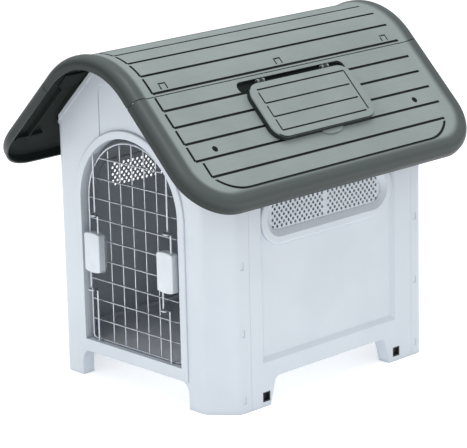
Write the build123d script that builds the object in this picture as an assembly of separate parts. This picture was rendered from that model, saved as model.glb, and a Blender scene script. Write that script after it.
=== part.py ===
from build123d import *
import math
import os

# A small moulded kennel with a two-slope roof, a wire door and a roof hatch.
# +Z is up, the door faces -Y, the ridge runs along Y. The feet stand on z = 0
# and the origin is at the centre of the footprint. All sizes are millimetres.

# ---------------------------------------------------------------- body
BODY_WIDTH = 482.0
BODY_DEPTH = 562.0
WALL = 4.0
CORNER_X = 50.0
CORNER_Y = 42.0
CORNER_ROUND = 22.0
REAR_CORNER_X = 37.0
REAR_CORNER_Y = 31.0
REAR_CORNER_ROUND = 16.0
FRONT_WRAP = 71.0
REAR_WRAP = 55.0
SEAM_GAP = 0.3
SEAT_GAP = 0.3

# ---------------------------------------------------------------- door opening
OPENING_WIDTH = 268.0
OPENING_SPRING_Z = 353.5
SILL_TOP_Z = 77.0
SILL_DEPTH = 24.0
RIM_BAND = 15.5
RIM_PROUD = 3.5
REVEAL_DEPTH = 22.0
BAND_ROUND = 2.5
REVEAL_WALL = 3.5
GABLE_FIELD_WIDTH = 154.0
GABLE_FIELD_RISE = 95.0
GABLE_FIELD_DEPTH = 1.6
FOOT_RETURN = 27.0
FOOT_ROUND = 24.0

# ---------------------------------------------------------------- side panels
SIDE_THICK = 10.0
FIELD_DEPTH = 6.0
FIELD_BEVEL = 9.0
OVERCUT = 0.01
FIELD_MARGIN = 101.0
FIELD_BOTTOM_Z = 85.0
LEG_WIDTH = 119.5
LEG_TOP_WIDTH = 134.0
LEG_ROUND = 12.0
LEG_RETURN = 27.0
PLUG_FRONT = 109.0
PLUG_REAR = 99.0
PLUG_Z = 19.0
PLUG_SIZE = 19.0
PLUG_WALL = 2.5
PLUG_LENGTH = 9.0
PLUG_SINK = 0.5
SNAP_HEIGHTS = (25.0, 153.0, 280.0)
SNAP_WIDTH = 7.0
SNAP_HEIGHT = 13.0
SNAP_FRONT_STEP = 17.75
SNAP_REAR_STEP = 10.0
SNAP_SINK = 0.6
SIDE_LAP_FRONT = 21.0
SIDE_LAP_REAR = 15.0
LEDGE_WIDTH = 12.0
LEDGE_THICK = 6.0

# ---------------------------------------------------------------- vent
VENT_Z = 353.0
VENT_HEIGHT = 104.0
VENT_MARGIN = 106.0
VENT_BAND = 14.0
VENT_SLOPE = 12.0
VENT_BAND_HEIGHT = 4.5
VENT_BAND_ROUND = 3.0
GRILLE_THICK = 2.0
GRILLE_LAP = 6.0
GRILLE_HOLE_R = 3.0
GRILLE_PITCH = 11.8
GRILLE_ROW = 6.7
GRILLE_ROWS = 7
GRILLE_BLANK = 8.0
GRILLE_END_MARGIN = 32.0
GRILLE_LEFT_START = -122.0

# ---------------------------------------------------------------- floor
FLOOR_RISE = 9.0
FLOOR_THICK = 4.0
FLOOR_LIP = 6.0
FLOOR_RIB = 7.0
FLOOR_FIT = 0.4

# ---------------------------------------------------------------- roof
EAVE_Z = 477.0
RIDGE_RADIUS = 157.0
ROOF_THICK = 5.5
GABLE_OVERHANG = 94.0
EAVE_RUN = 90.5
ROOF_CORNER = 100.0
SEAM_U = 178.0
ROOF_SEAM = 1.8
ROOF_SKIRT = 22.0
SKIRT_WALL = 4.5
BEAD_RISE = 3.5
BEAD_ROUND = 17.0
BEAD_CREST = 22.0
BEAD_FOOT = 35.0
SUPPORT_DROP = 14.85
PLANK_PITCH = 37.2
FIRST_PLANK = 39.06
GROOVE_WIDTH = 5.2
GROOVE_DEPTH = 2.4
GROOVE_END = 52.0
GROOVE_CORNER = 85.0
GROOVE_LEG_GAP = 6.0
RIDGE_PITCH_DEG = 14.25
RAIL_THICK = 8.0
RAIL_ROOT = 0.5
RIB_THICK = 3.0
RIB_PLACE = 0.45
LAP = 22.0
LAP_THICK = 4.0
TONGUE_WIDTH = 12.0
TONGUE_LENGTH = 11.0
TONGUE_SLOT = 3.0
TONGUE_INSET = 85.0

# ---------------------------------------------------------------- roof screws
SCREW_U = 307.0
SCREW_SETBACK = 17.0
SCREW_HEAD_R = 5.0
SCREW_HEAD_H = 2.4
SCREW_SHANK_R = 2.0
SCREW_LENGTH = 22.0
SCREW_RECESS_R = 6.2
SCREW_RECESS = 3.0
SCREW_CROSS = 6.0
SCREW_SLOT = 1.0
BOSS_R = 7.0
BOSS_LENGTH = 16.0

# ---------------------------------------------------------------- roof hatch
LID_U = 203.0
LID_Y = 8.5
LID_LENGTH = 269.0
LID_WIDTH = 122.0
LID_CORNER = 30.0
LID_BORDER = 20.0
LID_LEAST_CORNER = 3.0
LID_TOP = 14.0
LID_PLATE = 3.0
LID_WALL = 3.0
LID_LIFT = 0.8
LID_GROOVE_WIDTH = 3.4
LID_GROOVE_DEPTH = 1.4
HATCH_INSET = 19.0
CURB_WALL = 3.0
CURB_HEIGHT = 8.0
WELL_START_U = 186.5
WELL_CURB_GAP = 5.0
WELL_DEPTH = 7.0
WELL_FLOOR = 3.0
WELL_MARGIN = 6.0
WELL_CORNER = 13.0
HINGE_U = 194.0
HINGE_W = 1.0
HINGE_PIN_R = 2.0
HINGE_FIT = 0.08
HINGE_ARM_R = 4.4
HINGE_SPACING = 170.0
HINGE_Y = 13.0
HINGE_ARM_WIDTH = 9.0
HINGE_EAR = 4.0
HINGE_SIDE_GAP = 0.4
TAB_WIDTH = 54.0
TAB_REACH = 10.0
TAB_THICK = 3.5

# ---------------------------------------------------------------- wire door
FRAME_WIRE_R = 2.0
MESH_WIRE_R = 1.25
WELD_GAP = 0.05
FRAME_GAP = 11.0
FRAME_FOOT_GAP = 3.5
DOOR_SETBACK = 12.0
MESH_PITCH_X = 33.0
MESH_COLUMNS = 5
MESH_PITCH_Z = 39.7
MESH_ROWS = 9

# ---------------------------------------------------------------- latches
LATCH_INSET = 22.0
LATCH_Z = 254.5
GRIP_WIDTH = 42.0
GRIP_HEIGHT = 72.0
GRIP_CROWN = 6.0
GRIP_DEPTH = 15.0
GRIP_WALL = 2.4
GRIP_END_WALL = 4.5
GRIP_ROUND = 3.5
GRIP_FACE_ROUND = 2.2
GRIP_BACK = 3.0
GRIP_POST_R = 4.0
GRIP_POST_SPACING = 18.0
ROD_R = 2.0
ROD_FIT = 0.06
ROD_OFFSET = 12.5
ROD_TRAVEL = 16.0
ROD_ENTRY = 12.0
ROD_FRONT = 6.0
LOOP_REACH = 13.0
LOOP_BEND = 4.0
LOOP_GAP = 38.0
SPRING_LENGTH = 26.0
SPRING_WIRE = 0.5
SPRING_R = 3.6
SPRING_TURNS = 6
COLLAR_R = 4.2
COLLAR_THICK = 2.0
BORE_R = 4.8
SOCKET_BLOCK = 16.0

# ---------------------------------------------------------------- worked out
HALF_W = BODY_WIDTH / 2
HALF_D = BODY_DEPTH / 2
HALF_OPEN = OPENING_WIDTH / 2
FRAME_HALF = HALF_OPEN - FRAME_GAP
FRAME_BOTTOM_Z = SILL_TOP_Z + FRAME_FOOT_GAP
LATCH_X = FRAME_HALF - LATCH_INSET
ARCH_Z = OPENING_SPRING_Z + math.sqrt(HALF_OPEN ** 2 - LATCH_X ** 2)
RISE = math.sqrt(0.5)
PLANE_SUM = HALF_W + EAVE_Z
RIDGE_CENTRE_Z = PLANE_SUM - RIDGE_RADIUS / RISE
HALF_L = HALF_D + GABLE_OVERHANG
EAVE_U = HALF_W / RISE + EAVE_RUN
LOWER_EDGE_Z = SILL_TOP_Z - SILL_DEPTH
FLOOR_Z = LOWER_EDGE_Z + FLOOR_RISE
FIELD_HALF = HALF_D - FIELD_MARGIN
LEG_FOOT_INNER = HALF_D - LEG_WIDTH
LEG_TOP_INNER = HALF_D - LEG_TOP_WIDTH
PLUG_Y = (-HALF_D + PLUG_FRONT, HALF_D - PLUG_REAR)
VENT_LENGTH = 2 * (HALF_D - VENT_MARGIN)
GRILLE_END = VENT_LENGTH / 2 - GRILLE_END_MARGIN
SCREW_Y = HALF_D - SCREW_SETBACK
TONGUE_Y = HALF_L - TONGUE_INSET
REVEAL_OUTER_X = HALF_OPEN + REVEAL_WALL
FOOT_INNER_X = HALF_OPEN + RIM_BAND
FIELD_X = HALF_W - FIELD_DEPTH
INNER_X = HALF_W - SIDE_THICK
VENT_INSET = VENT_BAND + VENT_SLOPE
FRONT_CORNER = (CORNER_X, CORNER_Y, CORNER_ROUND)
REAR_CORNER = (REAR_CORNER_X, REAR_CORNER_Y, REAR_CORNER_ROUND)
MESH_Y = -(HALF_D + RIM_PROUD) + DOOR_SETBACK
ROD_OUTER_Y = MESH_Y - ROD_FRONT
ROW_Y = MESH_Y - MESH_WIRE_R - WELD_GAP
COLUMN_Y = MESH_Y + MESH_WIRE_R
GRIP_BACK_Y = ROW_Y - MESH_WIRE_R - SEAT_GAP
GRIP_FRONT_Y = GRIP_BACK_Y - GRIP_DEPTH
ROD_INNER_Y = GRIP_BACK_Y - GRIP_DEPTH / 2
LID_MID_U = LID_U + LID_WIDTH / 2
GROOVE_CUT = (-GROOVE_DEPTH, 1.0)


# ================================================================ helpers
def side_plane(y):
    """A plane across the object at y, seen with X to the right and Z up."""
    return Plane(origin=(0, y, 0), x_dir=(1, 0, 0), z_dir=(0, -1, 0))


def across(sketch_face, y_from, y_to):
    """Extrude a face drawn in X and Z from y_from to y_to."""
    placed = side_plane(y_from) * sketch_face
    return extrude(placed, amount=-(y_to - y_from))


def block(x, y, z):
    """A box between two limits on each axis."""
    size = [abs(pair[1] - pair[0]) for pair in (x, y, z)]
    middle = [(pair[0] + pair[1]) / 2 for pair in (x, y, z)]
    return Pos(*middle) * Box(*size)


def rod_between(start, end, radius):
    """A round bar from one point to another."""
    start = Vector(*start)
    end = Vector(*end)
    plane = Plane(origin=start, z_dir=end - start)
    return extrude(plane * Circle(radius), amount=(end - start).length)


def upright(x, y, z, radius):
    """A round bar standing between two heights."""
    return rod_between((x, y, z[0]), (x, y, z[1]), radius)


def x_plane(x):
    """A plane facing +X at x, with Y to the right and Z up."""
    return Plane(origin=(x, 0, 0), x_dir=(0, 1, 0), z_dir=(1, 0, 0))


def along_x(face, x_from, x_to):
    """Extrude a face drawn in Y and Z from x_from to x_to."""
    return extrude(x_plane(x_from) * face, amount=x_to - x_from)


def slope_plane(w=0.0):
    """The right slope's plank surface: local x runs down the slope, y along +Y."""
    normal = Vector(RISE, 0, RISE)
    origin = Vector(0, 0, PLANE_SUM) + normal * w
    return Plane(origin=origin, x_dir=(RISE, 0, -RISE), z_dir=normal)


def slope_block(u, y, w):
    """A box given in the right slope's own axes."""
    return slope_plane() * block(u, y, w)


def slope_round(u, y, radius, w):
    """A cylinder square to the right slope, between two heights w."""
    disc = slope_plane(w[0]) * (Pos(u, y) * Circle(radius))
    return extrude(disc, amount=w[1] - w[0])


def flipped(shape):
    """The left-hand copy of a right-hand piece."""
    return mirror(shape, about=Plane.YZ)


def turned(shape):
    """The same piece turned half round, for the opposite corner or end."""
    return Rot(0, 0, 180) * shape


def roof_region(offset, half_x, z_low):
    """The area under the roof's outer curve, moved out by an offset."""
    radius = RIDGE_RADIUS + offset
    plane_sum = PLANE_SUM + offset / RISE
    tangent = (radius * RISE, RIDGE_CENTRE_Z + radius * RISE)
    eave = (half_x, plane_sum - half_x)
    crown = ThreePointArc(tangent, (0, RIDGE_CENTRE_Z + radius), (-tangent[0], tangent[1]))
    sides = Polyline((-tangent[0], tangent[1]), (-eave[0], eave[1]), (-half_x, z_low), (half_x, z_low),
                     eave, tangent)
    return make_face(crown.edges() + sides.edges())


def arch_region(half, spring_z, z_low):
    """A doorway shape: straight sides and a half-round top."""
    crown = ThreePointArc((half, spring_z), (0, spring_z + half), (-half, spring_z))
    sides = Polyline((-half, spring_z), (-half, z_low), (half, z_low), (half, spring_z))
    return make_face(crown.edges() + sides.edges())


def top_edges(shape, plane, tolerance=0.01):
    """The edges of a shape that lie in a plane."""
    found = ShapeList()
    for edge in shape.edges():
        heights = [plane.to_local_coords(edge @ t).Z for t in (0.0, 0.5, 1.0)]
        if max(abs(height) for height in heights) < tolerance:
            found.append(edge)
    return found


# ================================================================ body panels
def corner_plan(corner, inset, y_end):
    """The plan of a gable panel: a wall with cut corners and two side wraps."""
    width = HALF_W
    depth = HALF_D
    corner_x, corner_y, corner_round = corner
    corners = [
        (-width, y_end),
        (-width, -depth + corner_y),
        (-width + corner_x, -depth),
        (width - corner_x, -depth),
        (width, -depth + corner_y),
        (width, y_end),
    ]
    face = make_face(Polyline(*corners, close=True).edges())
    cut = [vertex for vertex in face.vertices() if vertex.Y < y_end - 1]
    face = fillet(cut, corner_round)
    return offset(face, amount=-inset, kind=Kind.INTERSECTION) if inset else face


def gable_shell(wrap, corner):
    """Wall, cut corners and side wraps, trimmed to the roof's support line."""
    y_end = -HALF_D + wrap
    plan = corner_plan(corner, 0, y_end + 3 * WALL) - corner_plan(corner, WALL, y_end + 3 * WALL)
    shell = extrude(plan, amount=PLANE_SUM)
    keep = across(roof_region(-SUPPORT_DROP, HALF_W + 1, 0), -HALF_D - 1, y_end)
    return shell & keep


def gable_flange():
    """The bead along the sloping top edge, which carries the roof."""
    outer = roof_region(-SUPPORT_DROP, HALF_W - CORNER_X, 0)
    inner = roof_region(-SUPPORT_DROP - RIM_BAND / 2, HALF_W - CORNER_X, 0)
    ring = across(outer, -HALF_D - RIM_PROUD / 2, -HALF_D + WALL) - across(inner, -HALF_D - RIM_PROUD, 0)
    above = block((-HALF_W, HALF_W), (-HALF_D - WALL, -HALF_D + WALL), (OPENING_SPRING_Z, PLANE_SUM))
    return ring & above


def gable_field():
    """The shallow rounded field between the arch and the ridge."""
    top = OPENING_SPRING_Z + HALF_OPEN + GABLE_FIELD_RISE
    height = GABLE_FIELD_RISE + HALF_OPEN
    panel = RectangleRounded(GABLE_FIELD_WIDTH, height, RIM_BAND)
    return across(Pos(0, top - height / 2) * panel, -HALF_D - RIM_PROUD, -HALF_D + GABLE_FIELD_DEPTH)


def gable_legs_gap():
    """The gap between the two feet under the sill."""
    gap = block((-FOOT_INNER_X, FOOT_INNER_X), (-HALF_D - 2 * WALL, 0), (-1, LOWER_EDGE_Z))
    return fillet(gap.edges().filter_by(Axis.Y).sort_by(Axis.Z)[-2:], FOOT_ROUND)


def rod_sockets(radius):
    """Blind holes above and below the opening for the four latch rods."""
    spans = (
        (SILL_TOP_Z - ROD_ENTRY - 1, SILL_TOP_Z + 1),
        (ARCH_Z - ROD_ENTRY - ROD_TRAVEL, ARCH_Z + ROD_ENTRY + 1),
    )
    return [upright(x, ROD_OUTER_Y, span, radius) for x in (-LATCH_X, LATCH_X) for span in spans]


def socket_blocks():
    """The thick spots that hold the rod sockets in the arch."""
    y = (-HALF_D, ROD_OUTER_Y + SOCKET_BLOCK / 2)
    z = (ARCH_Z - SOCKET_BLOCK / 2, ARCH_Z + ROD_ENTRY + RIM_PROUD)
    return [block((x - SOCKET_BLOCK / 2, x + SOCKET_BLOCK / 2), y, z) for x in (-LATCH_X, LATCH_X)]


def screw_pair(radius):
    """Bars on the two roof screws' axes at one end of the body."""
    bar = slope_round(SCREW_U, -SCREW_Y, radius, (-SUPPORT_DROP - BOSS_LENGTH, -SUPPORT_DROP))
    return [bar, flipped(bar)]


def boss_webs(corner):
    """Ribs that tie the screw bosses to the end wall, inside its outline."""
    web = slope_block((SCREW_U - WALL / 2, SCREW_U + WALL / 2), (-HALF_D, -SCREW_Y),
                      (-SUPPORT_DROP - BOSS_LENGTH, -SUPPORT_DROP))
    web = web & extrude(corner_plan(corner, WALL / 4, 0), amount=PLANE_SUM)
    return [web, flipped(web)]


def snap_windows(y, half_w):
    """The small windows in a side wrap where the side panel's tabs show."""
    cuts = []
    for z in SNAP_HEIGHTS:
        for x in (-half_w, half_w):
            middle = x - math.copysign(WALL / 2, x)
            cuts.append(Pos(middle, y, z) * Box(2 * WALL, SNAP_WIDTH, SNAP_HEIGHT))
    return cuts


def door_band():
    """The rounded band round the doorway and the reveal wall behind it."""
    front = -HALF_D - RIM_PROUD
    band = across(arch_region(HALF_OPEN + RIM_BAND, OPENING_SPRING_Z, LOWER_EDGE_Z), front, -HALF_D + WALL)
    face_edges = top_edges(band, side_plane(front))
    band = fillet(face_edges.filter_by(lambda edge: (edge @ 0.5).Z > LOWER_EDGE_Z + 1), BAND_ROUND)
    reveal = arch_region(REVEAL_OUTER_X, OPENING_SPRING_Z, LOWER_EDGE_Z)
    return [band, across(reveal, -HALF_D, front + REVEAL_DEPTH)]


def doorway_cuts(open_door):
    """The doorway's cut, or the two cuts that leave a blind arch's thin wall."""
    front = -HALF_D - 2 * RIM_PROUD
    back = -HALF_D + 2 * REVEAL_DEPTH
    arch = arch_region(HALF_OPEN, OPENING_SPRING_Z, SILL_TOP_Z)
    if open_door:
        return [across(arch, front, back)]
    inner = arch_region(HALF_OPEN - REVEAL_WALL, OPENING_SPRING_Z, SILL_TOP_Z + REVEAL_WALL)
    return [across(arch, front, -HALF_D + RIM_PROUD), across(inner, -HALF_D + RIM_PROUD + WALL, back)]


def foot_returns():
    """The walls along the inner edges of a gable panel's two feet."""
    walls = []
    for x in (-FOOT_INNER_X, FOOT_INNER_X):
        outer = x + math.copysign(WALL, x)
        walls.append(block((x, outer), (-HALF_D, -HALF_D + FOOT_RETURN), (0, LOWER_EDGE_Z + WALL)))
    return walls


def gable_panel(wrap, corner, snap_step, open_door):
    """One end of the body. The rear end is the same design with a blind arch."""
    shell = gable_shell(wrap, corner)
    shell = shell + gable_flange()
    shell = shell - gable_field()
    for piece in door_band() + socket_blocks():
        shell = shell + piece
    shell = shell - gable_legs_gap()
    for cut in doorway_cuts(open_door):
        shell = shell - cut
    for piece in foot_returns() + screw_pair(BOSS_R) + boss_webs(corner):
        shell = shell + piece
    for hole in screw_pair(SCREW_SHANK_R):
        shell = shell - hole
    if open_door:
        for hole in rod_sockets(ROD_R + ROD_FIT):
            shell = shell - hole
    for cut in snap_windows(-HALF_D + wrap - snap_step, HALF_W):
        shell = shell - cut
    return shell


def side_outline():
    """The side panel seen from the side: legs, lower edge and a square top."""
    front = -HALF_D + FRONT_WRAP + SEAM_GAP
    rear = HALF_D - REAR_WRAP - SEAM_GAP
    points = [
        (front, 0),
        (-LEG_FOOT_INNER, 0),
        (-LEG_TOP_INNER, LOWER_EDGE_Z),
        (LEG_TOP_INNER, LOWER_EDGE_Z),
        (LEG_FOOT_INNER, 0),
        (rear, 0),
        (rear, PLANE_SUM),
        (front, PLANE_SUM),
    ]
    face = make_face(Polyline(*points, close=True).edges())
    soft = [v for v in face.vertices() if 1 < v.Y < PLANE_SUM - 1]
    return fillet(soft, LEG_ROUND)


def leg_returns():
    """The inward walls along the inner edges of a side panel's two legs."""
    walls = []
    for sign in (-1, 1):
        foot = sign * LEG_FOOT_INNER
        top = sign * LEG_TOP_INNER
        back = sign * WALL
        outline = [(foot, 0), (top, LOWER_EDGE_Z), (top + back, LOWER_EDGE_Z), (foot + back, 0)]
        face = make_face(Polyline(*outline, close=True).edges())
        walls.append(along_x(face, HALF_W - LEG_RETURN, INNER_X))
    return walls


def stadium(length, height):
    """A slot shape centred on the vent."""
    return Pos(0, VENT_Z) * SlotOverall(length, height)


def side_lap(y_inner, y_outer):
    """The part of the side panel that runs behind a gable panel's wrap."""
    x = (INNER_X, HALF_W - WALL - SEAM_GAP)
    return block(x, (y_inner, y_outer), (0, PLANE_SUM))


def snap_tabs():
    """The tabs on the laps that show in the gable panels' windows."""
    tab = (SNAP_WIDTH - 2 * SEAM_GAP, SNAP_HEIGHT - 2 * SEAM_GAP)
    reach = SIDE_THICK - SNAP_SINK
    tabs = []
    for z in SNAP_HEIGHTS:
        for y in (-HALF_D + FRONT_WRAP - SNAP_FRONT_STEP, HALF_D - REAR_WRAP + SNAP_REAR_STEP):
            tabs.append(Pos(INNER_X + reach / 2, y, z) * Box(reach, *tab))
    return tabs


def field_outline(inset):
    """The sunken field's outline in Y and Z, moved in by an inset."""
    half = FIELD_HALF - inset
    low = FIELD_BOTTOM_Z + inset
    corners = [(-half, low), (half, low), (half, PLANE_SUM), (-half, PLANE_SUM)]
    return make_face(Polyline(*corners, close=True).edges())


def field_recess():
    """The cut for the sunken field, with sloping borders."""
    mouth = x_plane(HALF_W + OVERCUT) * field_outline(0)
    seat = x_plane(FIELD_X) * field_outline(FIELD_BEVEL)
    return loft([mouth, seat], ruled=True)


def vent_band():
    """The raised band round the vent."""
    band = along_x(stadium(VENT_LENGTH, VENT_HEIGHT), FIELD_X, FIELD_X + VENT_BAND_HEIGHT)
    return fillet(band.edges().group_by(Axis.X)[-1], VENT_BAND_ROUND)


def vent_mouth():
    """The cuts for the vent: a mouth that slopes in from the band, and its throat."""
    wide = stadium(VENT_LENGTH - 2 * VENT_BAND, VENT_HEIGHT - 2 * VENT_BAND)
    narrow = stadium(VENT_LENGTH - 2 * VENT_INSET, VENT_HEIGHT - 2 * VENT_INSET)
    crest = FIELD_X + VENT_BAND_HEIGHT + OVERCUT
    slope = loft([x_plane(crest) * wide, x_plane(INNER_X) * narrow], ruled=True)
    return [slope, along_x(narrow, INNER_X - 1, INNER_X + 1)]


def side_panel():
    """The right wall with its legs, sunken field, vent seat and floor ledge."""
    front = -HALF_D + FRONT_WRAP + SEAM_GAP
    rear = HALF_D - REAR_WRAP - SEAM_GAP
    panel = along_x(side_outline(), INNER_X, HALF_W)
    panel = panel + side_lap(front - SIDE_LAP_FRONT, front + 1) + side_lap(rear - 1, rear + SIDE_LAP_REAR)
    for tab in snap_tabs():
        panel = panel + tab
    panel = panel - field_recess() + vent_band()
    for cut in vent_mouth():
        panel = panel - cut
    ledge_z = (FLOOR_Z - LEDGE_THICK, FLOOR_Z)
    panel = panel + block((INNER_X - LEDGE_WIDTH, INNER_X), (-FIELD_HALF, FIELD_HALF), ledge_z)
    for wall in leg_returns():
        panel = panel + wall
    for y in PLUG_Y:
        panel = panel - Pos(HALF_W - SIDE_THICK / 2, y, PLUG_Z) * Box(2 * SIDE_THICK, PLUG_SIZE, PLUG_SIZE)
    return panel & across(roof_region(-SUPPORT_DROP, HALF_W, 0), -HALF_D, HALF_D)


def vent_grille(first_y):
    """The perforated plate behind the vent's mouth, with no holes before first_y."""
    cut = 2 * (VENT_INSET - GRILLE_LAP)
    front = INNER_X - SEAT_GAP
    plate = along_x(stadium(VENT_LENGTH - cut, VENT_HEIGHT - cut), front - GRILLE_THICK, front)
    places = []
    for row in range(GRILLE_ROWS):
        z = VENT_Z + (row - (GRILLE_ROWS - 1) / 2) * GRILLE_ROW
        y = GRILLE_BLANK + (GRILLE_PITCH / 2 if row % 2 else 0)
        while y <= GRILLE_END:
            places.append((y, z))
            if -y >= first_y:
                places.append((-y, z))
            y = y + GRILLE_PITCH
    holes = Sketch() + [Pos(*place) * Circle(GRILLE_HOLE_R) for place in places]
    return plate - along_x(holes, front - GRILLE_THICK - 1, HALF_W)


def leg_plug(y):
    """A hollow square plug in a leg of the right wall."""
    x = HALF_W - PLUG_LENGTH / 2 - PLUG_SINK
    outer = Pos(x, y, PLUG_Z) * Box(PLUG_LENGTH, PLUG_SIZE, PLUG_SIZE)
    hollow = PLUG_SIZE - 2 * PLUG_WALL
    return outer - Pos(x + PLUG_WALL, y, PLUG_Z) * Box(PLUG_LENGTH, hollow, hollow)


def floor_tray():
    """The raised floor, resting on the side ledges between the two sills."""
    inner = corner_plan(FRONT_CORNER, WALL + FLOOR_FIT, HALF_D)
    half_y = HALF_D + RIM_PROUD - REVEAL_DEPTH - 2 * RIM_PROUD - FLOOR_FIT
    half_x = INNER_X - SEAT_GAP
    inner = inner & Rectangle(2 * half_x, 2 * half_y)
    inner = inner & (Rot(0, 0, 180) * inner)
    plate = extrude(Pos(0, 0, FLOOR_Z) * inner, amount=FLOOR_THICK + FLOOR_LIP)
    pan = offset(inner, amount=-2 * WALL, kind=Kind.INTERSECTION)
    plate = plate - extrude(Pos(0, 0, FLOOR_Z + FLOOR_THICK) * pan, amount=FLOOR_LIP)
    reach = HALF_D - FOOT_RETURN - FLOOR_FIT
    rib_y = (-reach, reach)
    for x in (-HALF_W / 2, 0, HALF_W / 2):
        plate = plate + block((x - WALL / 2, x + WALL / 2), rib_y, (FLOOR_Z - FLOOR_RIB, FLOOR_Z))
    return plate


# ================================================================ roof
def roof_profile(rise, depth):
    """The ridge panel's section: from an outer offset down to an inner depth."""
    outer = roof_region(rise, RIDGE_RADIUS, 0) - roof_region(-depth, RIDGE_RADIUS, -1)
    half = SEAM_U * RISE
    keep = make_face(Polyline(
        (0, PLANE_SUM + 2 * RIDGE_RADIUS),
        (half + RIDGE_RADIUS, PLANE_SUM - half + RIDGE_RADIUS),
        (half - RIDGE_RADIUS / 4, PLANE_SUM - half - RIDGE_RADIUS / 4),
        (-half + RIDGE_RADIUS / 4, PLANE_SUM - half - RIDGE_RADIUS / 4),
        (-half - RIDGE_RADIUS, PLANE_SUM - half + RIDGE_RADIUS),
        close=True).edges())
    return outer & keep


def ridge_ring(from_deg, to_deg, y):
    """A short cross groove round part of the ridge."""
    high = RIDGE_RADIUS + 1
    low = RIDGE_RADIUS - GROOVE_DEPTH
    points = {}
    for name, radius in (("high", high), ("low", low)):
        for key, angle in (("from", from_deg), ("mid", (from_deg + to_deg) / 2), ("to", to_deg)):
            turn = math.radians(angle)
            points[name + key] = (radius * math.sin(turn), RIDGE_CENTRE_Z + radius * math.cos(turn))
    top = ThreePointArc(points["highfrom"], points["highmid"], points["highto"])
    low_arc = ThreePointArc(points["lowfrom"], points["lowmid"], points["lowto"])
    ends = [Line(points["highfrom"], points["lowfrom"]), Line(points["highto"], points["lowto"])]
    face = make_face(top.edges() + low_arc.edges() + ends[0].edges() + ends[1].edges())
    return across(face, y - GROOVE_WIDTH / 2, y + GROOVE_WIDTH / 2)


def ridge_grooves():
    """Grooves between the ridge panel's planks, on its right half."""
    y_front = -HALF_L + GROOVE_END
    y_rear = HALF_L - GROOVE_END
    gap = math.degrees(GROOVE_LEG_GAP / RIDGE_RADIUS)
    cuts = []
    before = -RIDGE_PITCH_DEG / 2
    for index in range(3):
        angle = RIDGE_PITCH_DEG * (index + 0.5)
        bar = Pos(0, (y_front + y_rear) / 2, RIDGE_RADIUS - GROOVE_DEPTH / 2 + 0.5)
        bar = bar * Box(GROOVE_WIDTH, y_rear - y_front, GROOVE_DEPTH + 1)
        cuts.append(Pos(0, 0, RIDGE_CENTRE_Z) * (Rot(0, angle, 0) * bar))
        cuts.append(ridge_ring(before + gap, angle, y_front))
        before = angle
    last_u = SEAM_U - GROOVE_LEG_GAP
    cuts.append(ridge_ring(before + gap, 45, y_front))
    half = GROOVE_WIDTH / 2
    cuts.append(slope_block((RIDGE_RADIUS - 1, last_u), (y_front - half, y_front + half), GROOVE_CUT))
    cuts.append(slope_block((last_u - half, last_u + half), (y_front, y_rear), GROOVE_CUT))
    return cuts


def snap_tongues():
    """Arch-shaped slots that free three spring tongues above the seam."""
    cuts = []
    end = SEAM_U - GROOVE_LEG_GAP - GROOVE_WIDTH
    start = end - TONGUE_LENGTH
    for y in (-TONGUE_Y, 0.0, TONGUE_Y):
        inner = TONGUE_WIDTH / 2
        outer = inner + TONGUE_SLOT
        loop = slope_block((start - TONGUE_SLOT, end), (y - outer, y + outer), (-2 * ROOF_THICK, 1))
        tongue = slope_block((start, end + 1), (y - inner, y + inner), (-3 * ROOF_THICK, 2))
        cuts.append(loop - tongue)
    return cuts


def roof_ridge_panel():
    """The rounded ridge piece with a bead at each end."""
    low = roof_profile(0, ROOF_SKIRT)
    high = roof_profile(BEAD_RISE, ROOF_SKIRT)
    foot = HALF_L - BEAD_FOOT
    crest = HALF_L - BEAD_CREST
    panel = across(low, -foot, foot)
    for sign in (-1, 1):
        ramp = loft([side_plane(sign * foot) * low, side_plane(sign * crest) * high], ruled=True)
        end = across(high, min(sign * crest, sign * HALF_L), max(sign * crest, sign * HALF_L))
        rim = [e for e in top_edges(end, side_plane(sign * HALF_L)) if on_top(e)]
        panel = panel + ramp + fillet(rim, BEAD_ROUND)
    hollow = roof_profile(-ROOF_THICK, ROOF_SKIRT + 5)
    panel = panel - across(hollow, -HALF_L + SKIRT_WALL, HALF_L - SKIRT_WALL)
    for cut in ridge_grooves() + snap_tongues():
        panel = panel - cut - flipped(cut)
    for y in (-HALF_D + RAIL_THICK / 4, HALF_D - RAIL_THICK / 4):
        rail = across(roof_profile(-ROOF_THICK, SUPPORT_DROP), y - RAIL_THICK / 2, y + RAIL_THICK / 2)
        beside = (y - RAIL_THICK, y + RAIL_THICK)
        past = slope_block((SEAM_U - LAP - SEAM_GAP, 2 * SEAM_U), beside, (-ROOF_SKIRT, 0))
        panel = panel + (rail - past - flipped(past))
    return panel


def on_top(edge):
    """True for an edge on the outer curve of the roof."""
    spot = edge @ 0.5
    x = abs(spot.X)
    if x < RIDGE_RADIUS * RISE:
        return math.hypot(x, spot.Z - RIDGE_CENTRE_Z) > RIDGE_RADIUS
    return x + spot.Z > PLANE_SUM + 1


def slope_outline(inset, u_start):
    """The slope panel's outline on the slope, moved in by an inset."""
    return rounded_end(HALF_L - inset, u_start, EAVE_U - inset, ROOF_CORNER - inset)


def rounded_end(half, u_start, end, radius):
    """A shape on the slope with square upper corners and rounded lower ones."""
    corner = radius * (1 - RISE)
    path = Polyline((end - radius, half), (u_start, half), (u_start, -half), (end - radius, -half))
    lower = ThreePointArc((end - radius, -half), (end - corner, -half + corner), (end, -half + radius))
    side = Line((end, -half + radius), (end, half - radius))
    upper = ThreePointArc((end, half - radius), (end - corner, half - corner), (end - radius, half))
    return make_face(path.edges() + lower.edges() + side.edges() + upper.edges())


def slope_groove_rows():
    """How far down the slope each plank groove lies."""
    first = SEAM_U - GROOVE_LEG_GAP + FIRST_PLANK
    rows = []
    while first < EAVE_U - BEAD_FOOT - PLANK_PITCH / 2:
        rows.append(first)
        first = first + PLANK_PITCH
    return rows


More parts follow.
